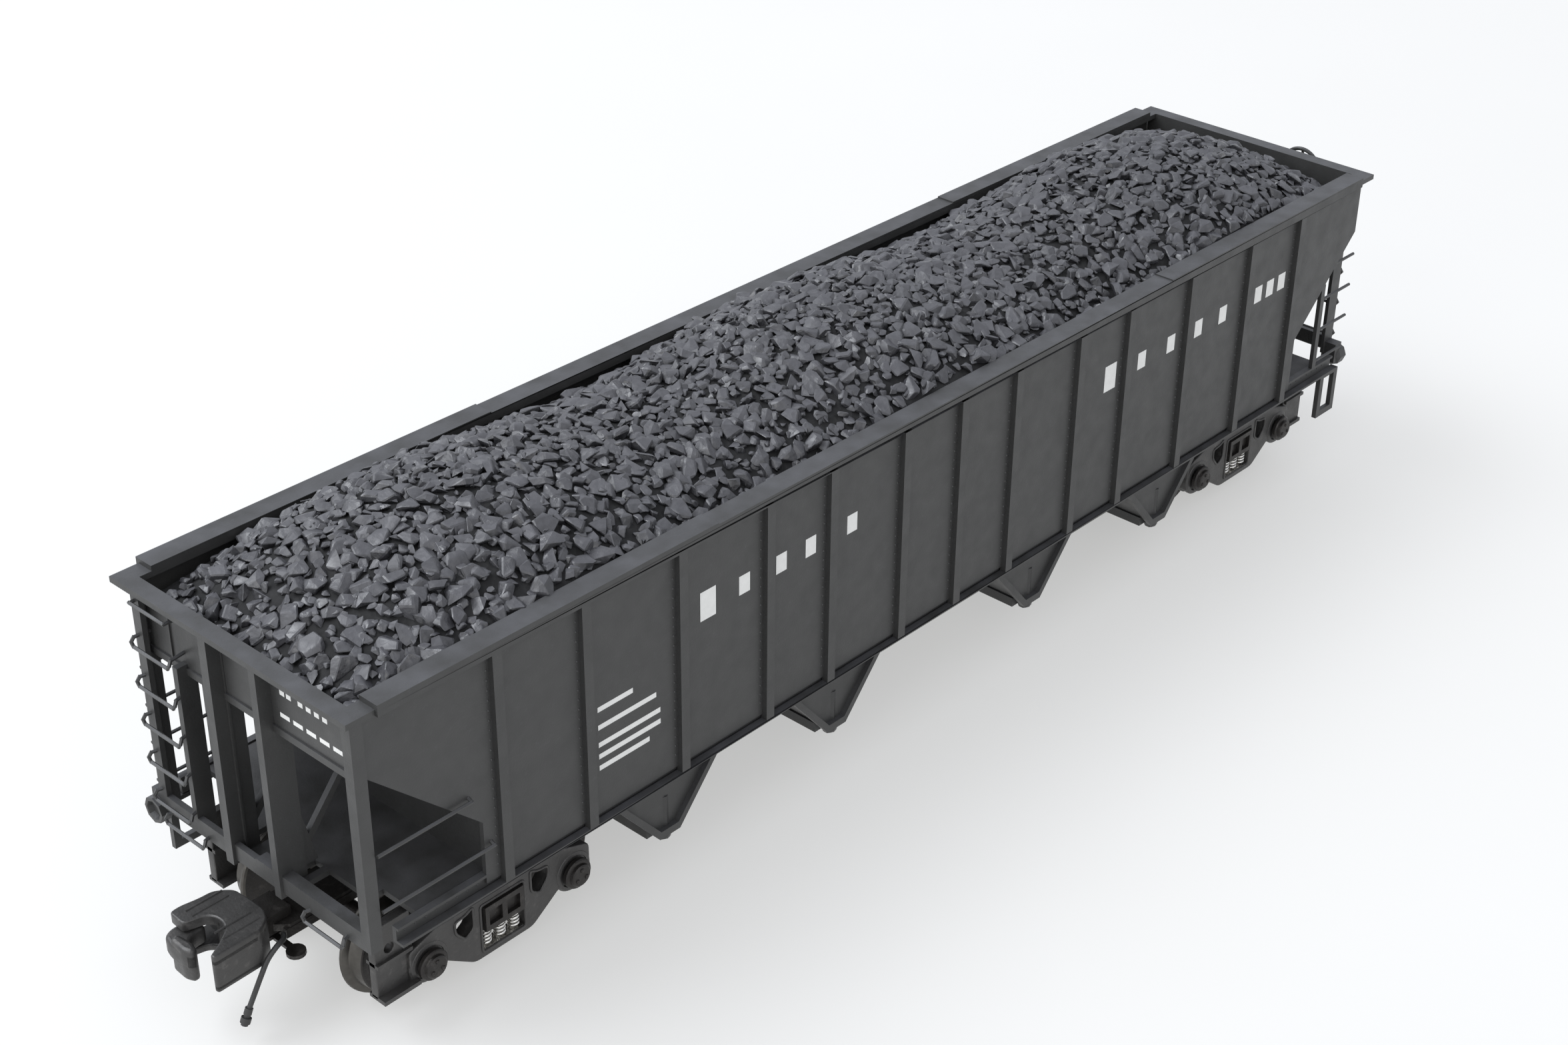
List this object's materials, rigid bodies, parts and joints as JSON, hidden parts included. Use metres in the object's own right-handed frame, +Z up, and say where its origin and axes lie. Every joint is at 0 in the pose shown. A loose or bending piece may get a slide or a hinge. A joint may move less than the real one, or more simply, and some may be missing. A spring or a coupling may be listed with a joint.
{
  "type": "model hopper car",
  "caption": "O scale model open hopper freight car with a lift-out coal load, swivelling sprung trucks, rolling wheels and opening knuckle couplers.",
  "frame": {"origin": "on the rail top, under the middle of the car", "axes": "+X along the car to the brake-wheel end, +Y across it, +Z up"},
  "size_m": [0.352, 0.0682, 0.087],
  "materials": {
    "body_plastic": "satin",
    "fitting_plastic": "satin",
    "coal_resin": "satin",
    "blackened_metal": "satin",
    "wheel_steel": "satin",
    "spring_steel": "polished",
    "screw_steel": "satin"
  },
  "bodies": {
    "car_body": {"left_side": "body_plastic", "right_side": "body_plastic", "near_end_frame": "body_plastic", "far_end_frame": "body_plastic", "near_stirrup": "body_plastic", "far_stirrup": "body_plastic", "near_slope_sheet": "body_plastic", "far_slope_sheet": "body_plastic", "near_platform": "fitting_plastic", "far_platform": "fitting_plastic", "centre_sill": "body_plastic", "brake_housing": "fitting_plastic", "hopper_1": "body_plastic", "hopper_2": "body_plastic", "hopper_3": "body_plastic", "hopper_4": "body_plastic", "cross_brace_1": "body_plastic", "cross_brace_2": "body_plastic", "cross_brace_3": "body_plastic", "brake_cylinder": "fitting_plastic", "air_reservoir": "fitting_plastic"},
    "coal": {"coal_load": "coal_resin"},
    "hand_wheel": {"brake_wheel": "fitting_plastic"},
    "near_truck": {"near_truck_frame_left": "blackened_metal", "near_truck_frame_right": "blackened_metal", "near_truck_bolster": "blackened_metal", "near_kingpin_screw": "screw_steel", "near_springs_left": "spring_steel", "near_springs_right": "spring_steel", "near_coupler_arm": "blackened_metal", "near_coupler_head": "blackened_metal", "near_knuckle_pin": "screw_steel", "near_air_hose": "fitting_plastic"},
    "near_outer_wheelset": {"near_outer_axle": "wheel_steel", "near_outer_wheel_left": "wheel_steel", "near_outer_wheel_right": "wheel_steel"},
    "near_inner_wheelset": {"near_inner_axle": "wheel_steel", "near_inner_wheel_left": "wheel_steel", "near_inner_wheel_right": "wheel_steel"},
    "near_knuckle_jaw": {"near_knuckle": "blackened_metal"},
    "near_release": {"near_uncoupling_tab": "blackened_metal"},
    "far_truck": {"far_truck_frame_left": "blackened_metal", "far_truck_frame_right": "blackened_metal", "far_truck_bolster": "blackened_metal", "far_kingpin_screw": "screw_steel", "far_springs_left": "spring_steel", "far_springs_right": "spring_steel", "far_coupler_arm": "blackened_metal", "far_coupler_head": "blackened_metal", "far_knuckle_pin": "screw_steel", "far_air_hose": "fitting_plastic"},
    "far_outer_wheelset": {"far_outer_axle": "wheel_steel", "far_outer_wheel_left": "wheel_steel", "far_outer_wheel_right": "wheel_steel"},
    "far_inner_wheelset": {"far_inner_axle": "wheel_steel", "far_inner_wheel_left": "wheel_steel", "far_inner_wheel_right": "wheel_steel"},
    "far_knuckle_jaw": {"far_knuckle": "blackened_metal"},
    "far_release": {"far_uncoupling_tab": "blackened_metal"}
  },
  "joints": [
    {"name": "coal_lift", "type": "slide", "parent": "car_body", "child": "coal", "axis": [0, 0, 1], "range_m": [0, 0.03]},
    {"name": "hand_brake_turn", "type": "hinge", "parent": "car_body", "child": "hand_wheel", "pos_m": [0.1634, -0.011, 0.0724], "axis": [1, 0, 0], "continuous": true},
    {"name": "near_truck_swivel", "type": "hinge", "parent": "car_body", "child": "near_truck", "pos_m": [-0.1235, 0, 0.0237], "axis": [0, 0, 1], "range_deg": [-15, 15]},
    {"name": "near_outer_axle_roll", "type": "hinge", "parent": "near_truck", "child": "near_outer_wheelset", "pos_m": [-0.1415, 0, 0.0119], "axis": [0, 1, 0], "continuous": true},
    {"name": "near_inner_axle_roll", "type": "hinge", "parent": "near_truck", "child": "near_inner_wheelset", "pos_m": [-0.1055, 0, 0.0119], "axis": [0, 1, 0], "continuous": true},
    {"name": "near_knuckle_open", "type": "hinge", "parent": "near_truck", "child": "near_knuckle_jaw", "pos_m": [-0.1716, 0.0056, 0.018], "axis": [0, 0, -1], "range_deg": [0, 45]},
    {"name": "near_release_drop", "type": "hinge", "parent": "near_truck", "child": "near_release", "pos_m": [-0.1525, 0, 0.0137], "axis": [0, -1, 0], "range_deg": [0, 8]},
    {"name": "far_truck_swivel", "type": "hinge", "parent": "car_body", "child": "far_truck", "pos_m": [0.1235, 0, 0.0237], "axis": [0, 0, 1], "range_deg": [-15, 15]},
    {"name": "far_outer_axle_roll", "type": "hinge", "parent": "far_truck", "child": "far_outer_wheelset", "pos_m": [0.1415, 0, 0.0119], "axis": [0, 1, 0], "continuous": true},
    {"name": "far_inner_axle_roll", "type": "hinge", "parent": "far_truck", "child": "far_inner_wheelset", "pos_m": [0.1055, 0, 0.0119], "axis": [0, 1, 0], "continuous": true},
    {"name": "far_knuckle_open", "type": "hinge", "parent": "far_truck", "child": "far_knuckle_jaw", "pos_m": [0.1716, -0.0056, 0.018], "axis": [0, 0, -1], "range_deg": [0, 45]},
    {"name": "far_release_drop", "type": "hinge", "parent": "far_truck", "child": "far_release", "pos_m": [0.1525, 0, 0.0137], "axis": [0, 1, 0], "range_deg": [0, 8]}
  ]
}
